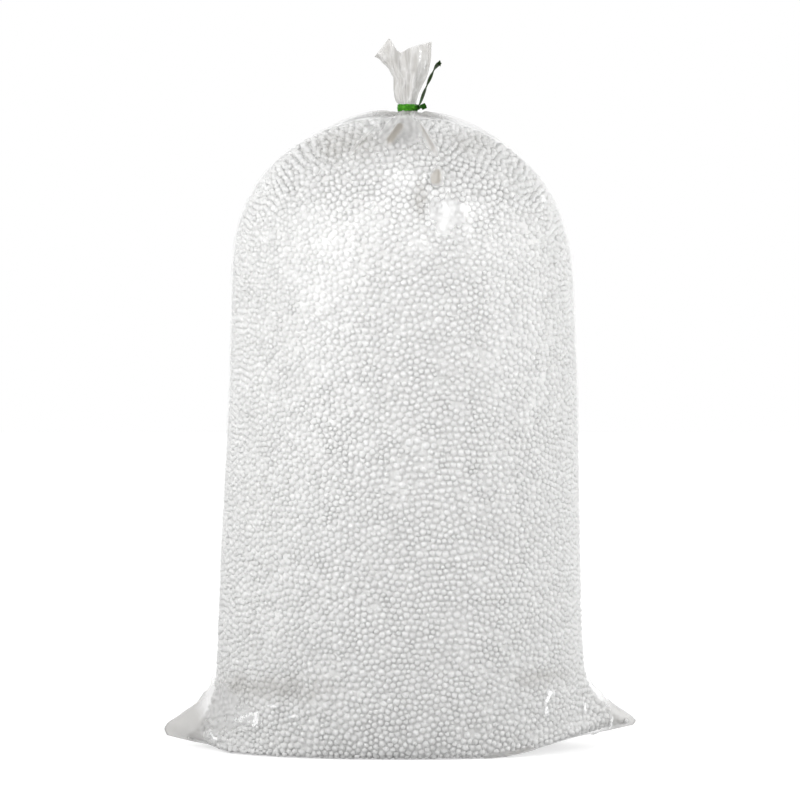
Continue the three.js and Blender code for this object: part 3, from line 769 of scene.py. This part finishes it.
def film_layers(points, zones):
    """How clouded the film is at its points, how far its tone runs to beige, where white painted glints lie
    and how shiny it is; the clouding and the beige also carry a painted sheen and painted shade.
    """
    x, y, z = points.T
    doubled, shine, patch_haze_sheen_and_shade, grey = np.zeros((4, len(points)))
    # White painted glints: specks on the tuft's crinkles and lines along folds
    pale = TUFT_PAINTED_GLINT * zones.free * zones.crinkle
    for fold in FOLDS:
        near = along_fold(points, fold)
        doubled = np.maximum(doubled, fold.doubled * near)
        pale = np.maximum(pale, fold.pale * near)
        shine = np.maximum(shine, fold.shine * near)
    for patch in PATCHES:
        away = np.hypot((x - patch.at[0]) / patch.size[0], (z - patch.at[1]) / patch.size[1])
        near = fade(away + PATCH_RAGGED * zones.fine, *PATCH_EDGE) * zones.front
        patch_haze_sheen_and_shade = np.maximum(patch_haze_sheen_and_shade, patch.haze * near)
        grey = np.maximum(grey, patch.grey * near)
        shine = np.maximum(shine, patch.shine * near)

    below = np.maximum(0, NECK_HEIGHT - z)
    from_neck = np.hypot(x - NECK_SHIFT, y) + 0.5 * below
    from_wedge = np.abs((x - NECK_SHIFT) / (below / WEDGE_SPREAD + WEDGE_FOOT) + WEDGE_SHIFT)
    wedge = fade(from_wedge, *WEDGE_EDGE) * fade(z + WEDGE_RAGGED * zones.fine, *WEDGE_ZONE) * zones.front
    gathered = np.maximum(NECK_MILK * hill(from_neck, GATHER_REACH), WEDGE_MILK * wedge) * (z < TIE_TOP)
    seal = fade(np.arange(len(points)) // COLUMNS, SEAL_ROWS, 0)
    ears = LEFT_EAR_MILK * zones.left_ear + RIGHT_EAR_MILK * zones.right_ear
    # Painted shade comes in through dark creases and darkened patches, and a painted sheen through whitened
    # patches
    milky_sheen_and_shade = [ears, EAR_MILK * zones.ear, TUFT_MILK * zones.free, gathered, doubled, SEAL_MILK * seal, patch_haze_sheen_and_shade]
    warm_and_shade = [GATHERED_WARMTH * gathered, doubled, TUFT_WARMTH * zones.free, EAR_WARMTH * ears, grey]
    return {
        "milky_sheen_and_shade": np.max(milky_sheen_and_shade, axis=0),
        "warm_and_shade": np.max(warm_and_shade, axis=0) * (1 - pale),
        "pale": pale,
        "shine": shine,
    }


def make_film():
    points, quads, ends = film_surface()
    normal = normals_of(points, quads, ends)
    zones = film_zones(points)
    creased = points + normal * wrinkles(points, normal, zones)[:, None]
    creased[:, 2] = np.maximum(creased[:, 2], FLOOR_GAP)
    film = make_piece("film", creased, quads, ends, film_material())
    for name, values in film_layers(points, zones).items():
        layer = film.data.attributes.new(name, "FLOAT", "POINT")
        layer.data.foreach_set("value", values.astype(np.float32))
    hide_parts("film_bag")


# Beads

def fill_surface():
    """The outside of the heap of beads, as points, quads and triangles."""
    dome = [row for row in DOME_ROWS if 2 * row.half_width > CROWN_WIDTH]
    rows = BOTTOM_ROWS[1:] + WALL_ROWS + dome
    keys = [ring(row, FILL_COLUMNS, BEADS_IN_LEFT_EAR, BEADS_IN_RIGHT_EAR) for row in rows]
    rows = smooth_rows(keys, FILL_ROW_STEP)
    seam, ends = seam_faces(FILL_COLUMNS)
    points = rows.reshape(-1, 3)
    top = np.append(rows[-1].mean(0)[:2], rows[-1][:, 2].mean() + CROWN_RISE)
    last = len(points) - FILL_COLUMNS + np.arange(FILL_COLUMNS)
    fan = np.stack([last, np.roll(last, -1), np.full(FILL_COLUMNS, len(points))], 1)
    quads = np.vstack([grid_quads(len(rows), FILL_COLUMNS), seam])
    return np.vstack([points, top]), quads, np.vstack([ends, fan])


def steepness(normal):
    """1 where a surface is a wall or faces down, and less the flatter it lies."""
    across = np.hypot(normal[:, 0], normal[:, 1])
    return np.where(normal[:, 2] > 0, np.clip(across, LEAST_STEEPNESS, 1), 1)


def scatter(points, quads, tris):
    """Random points over a surface, evenly spread on walls and thinner where it lies flatter."""
    faces = np.vstack([quads[:, [0, 1, 2]], quads[:, [0, 2, 3]], tris])
    a, b, c = (points[faces[:, k]] for k in range(3))
    normal = np.cross(b - a, c - a)
    area = np.linalg.norm(normal, axis=1) / 2
    area = area * steepness(normal / np.maximum(2 * area, 1e-9)[:, None])
    count = int(BEAD_COVER * area.sum() / (math.pi * BEAD_RADIUS**2))
    pick = random.choice(len(faces), count, p=area / area.sum())
    u, v = random.random(count), random.random(count)
    over = u + v > 1
    u, v = np.where(over, 1 - u, u)[:, None], np.where(over, 1 - v, v)[:, None]
    return a[pick] + (b - a)[pick] * u + (c - a)[pick] * v


def neighbours(at, radii):
    """Pairs of beads that are near each other, each with its own radius of search."""
    tree = kdtree.KDTree(len(at))
    for i, p in enumerate(at.tolist()):
        tree.insert(p, i)
    tree.balance()
    pairs = []
    for i, (p, radius) in enumerate(zip(at.tolist(), radii.tolist())):
        pairs += [(i, j) for _, j, d in tree.find_range(p, radius) if j > i or d > radii[j]]
    return np.array(pairs)


def settle(at, radii, surface):
    """Pushes beads apart along the surface until they lie side by side, further apart up a slope."""
    for step in range(SETTLE_ROUNDS):
        if step % SETTLE_REFRESH == 0:
            normal = np.array([surface.find_nearest(p)[1] for p in at.tolist()])
            steep = steepness(normal)
            first, second = neighbours(at, (2 * BEAD_MOST + SETTLE_MARGIN) / steep).T
            touch = 2 * np.sqrt(radii[first] * radii[second])
            slope = np.array([0, 0, 1]) - normal * normal[:, 2:]
            slope = (slope / np.maximum(np.linalg.norm(slope, axis=1, keepdims=True), 1e-6))[first]
        apart = at[second] - at[first]
        squeezed = apart - slope * ((1 - steep[first]) * (apart * slope).sum(1))[:, None]
        distance = np.maximum(np.linalg.norm(squeezed, axis=1), 1e-6)
        push = apart * (0.5 * np.clip(touch - distance, 0, None) / distance)[:, None]
        move = np.zeros_like(at)
        np.add.at(move, second, push)
        np.add.at(move, first, -push)
        at = at + SETTLE_MOVE * move
        if step % SETTLE_SNAP == SETTLE_SNAP - 1:
            at = np.array([surface.find_nearest(p)[0] for p in at.tolist()])
    normal = np.array([surface.find_nearest(p)[1] for p in at.tolist()])
    return at, normal


def bead_shape(tilts):
    """A unit bead's outer side: a dome with rings at shares of a half turn, closed behind by a flat face."""
    points = [(0, 0, 1)]
    for tilt in tilts:
        out, up = math.sin(tilt * math.pi), math.cos(tilt * math.pi)
        for k in range(BEAD_SIDES):
            turn = 2 * math.pi * (k + tilt) / BEAD_SIDES
            points.append((out * math.cos(turn), out * math.sin(turn), up))
    faces = []
    for k in range(BEAD_SIDES):
        n = (k + 1) % BEAD_SIDES
        faces.append((0, 1 + k, 1 + n))
        for inner in range(1, 1 + BEAD_SIDES * (len(tilts) - 1), BEAD_SIDES):
            outer = inner + BEAD_SIDES
            faces += [(inner + k, outer + k, outer + n), (inner + k, outer + n, inner + n)]
    last = 1 + (len(tilts) - 1) * BEAD_SIDES
    faces += [(last, last + k + 1, last + k) for k in range(1, BEAD_SIDES - 1)]
    return np.array(points), np.array(faces)


def beads_mesh(tilts, centre, axes):
    """Beads of one shape, as points and triangles."""
    shape, shape_faces = bead_shape(tilts)
    faces = shape_faces[None] + len(shape) * np.arange(len(centre))[:, None, None]
    return (centre[:, None] + shape @ axes).reshape(-1, 3), faces.reshape(-1, 3)


def make_beads():
    """Loose beads side by side over a core, which stands for the heap of beads within."""
    points, quads, tris = fill_surface()
    surface = BVHTree.FromPolygons(points.tolist(), quads.tolist() + tris.tolist())
    at = scatter(points, quads, tris)
    radii = np.clip(random.normal(BEAD_RADIUS, BEAD_SPREAD, len(at)), BEAD_LEAST, BEAD_MOST)
    at, normal = settle(at, radii, surface)
    sunk = BEAD_GAP + BEAD_SUNK * random.random(len(at)) ** BEAD_SUNK_POWER
    centre = at - normal * (radii + sunk)[:, None]
    centre[:, 2] = np.maximum(centre[:, 2], radii + BEAD_GAP)
    aside = np.cross(normal, random.normal(size=at.shape))
    aside /= np.linalg.norm(aside, axis=1, keepdims=True)
    axes = np.stack([aside, np.cross(normal, aside), normal], 1) * radii[:, None, None]

    material = bead_material()
    turn = np.arctan2(at[:, 1], at[:, 0]) / math.pi + 1
    sector = np.floor(turn * BEAD_PIECES / 2).astype(int).clip(0, BEAD_PIECES - 1)
    on_dome = normal[:, 2] > DOME_SLOPE
    no_quads = np.zeros((0, 4), int)
    for k in range(BEAD_PIECES):
        wall, dome = (sector == k) & ~on_dome, (sector == k) & on_dome
        wall_points, wall_faces = beads_mesh(WALL_BEAD, centre[wall], axes[wall])
        dome_points, dome_faces = beads_mesh(DOME_BEAD, centre[dome], axes[dome])
        faces = np.vstack([wall_faces, dome_faces + len(wall_points)])
        beads = make_piece(f"beads_{k + 1}", np.vstack([wall_points, dome_points]), no_quads, faces, material)

    core_normal = normals_of(points, quads, tris)
    depth = lerp(CORE_DEPTH, DOME_CORE_DEPTH, smoothstep(fade(core_normal[:, 2:], *CORE_DOME_ZONE)))
    core = make_piece("bead_core", points - core_normal * depth, quads, tris, core_material())
    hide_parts("bead_fill")


# Twist tie

def tie_path():
    """The ribbon's middle and the way its outer face looks, from the short tail's tip to the long tail's."""
    ring_radius = NECK_RADIUS + NECK_PLEAT + TIE_GAP + WIRE_DIAMETER / 2
    strand = (WIRE_DIAMETER + TIE_GAP) / 2
    right, back, up = np.eye(3)
    out = math.cos(KNOT_AZIMUTH) * right + math.sin(KNOT_AZIMUTH) * back
    side = np.cross(up, out)
    middle = NECK_SHIFT * right + (TIE_BOTTOM + TIE_TOP) / 2 * up

    def knot(sign):
        share = np.linspace(0, 1, KNOT_POINTS)[:, None]
        turn = 2 * math.pi * KNOT_TURNS * share
        normal = sign * (side * np.cos(turn) + up * np.sin(turn))
        return middle + out * (ring_radius + 2 * strand + KNOT_LENGTH * share) + normal * strand, normal

    def tail(start, shape, bend, facing):
        share = np.linspace(0, 1, TAIL_POINTS)[1:, None]
        turned = smoothstep(share / TAIL_BEND)
        nod = 1 + shape.droop * (1 - share**4)
        rise = shape.rise * nod * share * lerp(share / TAIL_BEND, 1, turned)
        points = start + out * bend * turned + up * rise + right * shape.lean * share
        wave = np.sin(TAIL_TWIST.rate * share + TAIL_TWIST.start)
        twist = (shape.turn + shape.wobble * wave) * turned
        return points, facing * (up * (1 - turned) - right * turned + back * twist)

    opening = 4 * strand / ring_radius
    angle = KNOT_AZIMUTH + np.linspace(opening, 2 * math.pi - opening, LOOP_POINTS)[:, None]
    around = right * np.cos(angle) + back * np.sin(angle)
    loop = middle + ring_radius * around + up * LOOP_WAVE.height * np.sin(LOOP_WAVE.count * angle)
    lower, upper = knot(1), knot(-1)
    short = tail(lower[0][-1], SHORT_TAIL, WIRE_DIAMETER + 2 * strand, -1)
    long = tail(upper[0][-1], LONG_TAIL, WIRE_DIAMETER, 1)
    points = np.concatenate([short[0][::-1], lower[0][::-1], loop, upper[0], long[0]])
    normal = np.concatenate([short[1][::-1], lower[1][::-1], around, upper[1], long[1]])
    return points, normal / np.linalg.norm(normal, axis=1, keepdims=True)


def make_tie():
    """A ribbon with a ridge over its wire, swept along the tie's path."""
    path, normal = tie_path()
    across = np.cross(normal, np.gradient(path, axis=0))
    across /= np.linalg.norm(across, axis=1, keepdims=True)
    wide = np.linspace(-1, 1, RIBBON_POINTS) * TIE_WIDTH / 2
    thick = lerp(TIE_THICKNESS, WIRE_DIAMETER, hill(wide, WIRE_RIDGE)) / 2
    section = np.concatenate([np.stack([wide, -thick], 1), np.stack([wide, thick], 1)[::-1]])
    points = path[:, None] + across[:, None] * section[:, :1] + normal[:, None] * section[:, 1:]
    count = len(section)
    half = np.arange(count // 2 - 1)
    cap = np.stack([half, half + 1, count - 2 - half, count - 1 - half], 1)
    last = len(path) * count - count
    quads = np.concatenate([grid_quads(len(path), count), cap[:, ::-1], last + cap])
    tie = make_piece("tie", points.reshape(-1, 3), quads, np.zeros((0, 3), int), tie_material())
    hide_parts("twist_tie")


# Camera, light and floor

def make_camera():
    camera = bpy.data.cameras.new("camera")
    camera.lens = 188.4
    camera.sensor_width = 36
    eye = bpy.data.objects.new("camera", camera)
    eye.location = (0, -2.6, 0.28)
    aim = Vector((0, 0, 0.2161)) - eye.location
    eye.rotation_euler = aim.to_track_quat("-Z", "Y").to_euler()
    bpy.context.scene.collection.objects.link(eye)
    bpy.context.scene.camera = eye


def area_light(name, place, aim, size, power):
    light = bpy.data.lights.new(name, "AREA")
    light.shape = "RECTANGLE"
    light.size, light.size_y = size
    light.energy = power
    lamp = bpy.data.objects.new(name, light)
    lamp.location = place
    lamp.rotation_euler = (Vector(aim) - Vector(place)).to_track_quat("-Z", "Y").to_euler()
    bpy.context.scene.collection.objects.link(lamp)


def shown_rays(add):
    """1 for rays that show the background to the camera, straight or in a gloss, and 0 for the rest."""
    rays = add("ShaderNodeLightPath").outputs
    shown = calc(add, "MAXIMUM", rays["Is Camera Ray"], rays["Is Glossy Ray"])
    return calc(add, "MAXIMUM", shown, rays["Is Transmission Ray"])


def make_floor():
    """A white floor that keeps the shadow by the bag and runs into the white background."""
    material, add = new_material("studio_floor")
    place = add("ShaderNodeTexCoord").outputs["Object"]
    away = add("ShaderNodeVectorMath", place, operation="LENGTH").outputs["Value"]
    glow = map_range(add, away, source=(0.15, 0.9), target=(0.68, 1.0))
    lit = add("ShaderNodeBsdfDiffuse", Color=(0.55, 0.55, 0.55, 1))
    own = add("ShaderNodeEmission", Strength=calc(add, "MULTIPLY", glow, shown_rays(add)))
    show(add, add("ShaderNodeAddShader", lit.outputs[0], own.outputs[0]))
    bpy.ops.mesh.primitive_plane_add(size=12)
    floor = bpy.context.object
    floor.name = "studio_floor"
    floor.data.materials.append(material)


def make_world():
    """Soft light, brighter from behind the bag and darker from above, and white where the camera sees it."""
    world = bpy.data.worlds.new("studio")
    bpy.context.scene.world = world
    world.use_nodes = True
    world.node_tree.nodes.clear()
    add = node_adder(world.node_tree)
    axes = add("ShaderNodeSeparateXYZ", add("ShaderNodeTexCoord").outputs["Generated"])
    level = map_range(add, axes.outputs["Z"], source=(0.0, 0.35), target=(0.71, 0.03))
    behind = map_range(add, axes.outputs["Y"], target=(0.0, 0.8))
    soft = add("ShaderNodeBackground", Color=(1, 1, 1, 1), Strength=calc(add, "ADD", level, behind))
    white = add("ShaderNodeBackground", Color=(1, 1, 1, 1), Strength=1.0)
    mix = add("ShaderNodeMixShader", shown_rays(add), soft.outputs[0], white.outputs[0])
    add("ShaderNodeOutputWorld", mix.outputs[0])


def make_lights():
    middle = (0, 0, 0.25)
    shoulder = (0, 0, 0.28)
    crown = (0, -0.04, 0.36)
    area_light("key", (-0.62, -0.45, 0.62), middle, (0.42, 0.4), 1.02)
    area_light("left", (-0.47, -0.43, 0.38), shoulder, (0.4, 0.34), 1.6)
    area_light("front", (-0.1, -1.0, 0.75), middle, (0.8, 0.5), 3.15)
    area_light("right", (1.25, -0.35, 0.65), middle, (1.3, 1.1), 10.5)
    area_light("right_shoulder", (0.58, -0.42, 0.36), shoulder, (0.35, 0.3), 0.37)
    area_light("crown", (0.05, -0.38, 0.95), crown, (0.3, 0.2), 0.45)
    area_light("back", (0, 1.2, 0.6), middle, (1.0, 0.8), 2.8)


bpy.context.scene.view_settings.view_transform = "Standard"
make_camera()
make_floor()
make_world()
make_lights()
make_film()
make_beads()
make_tie()
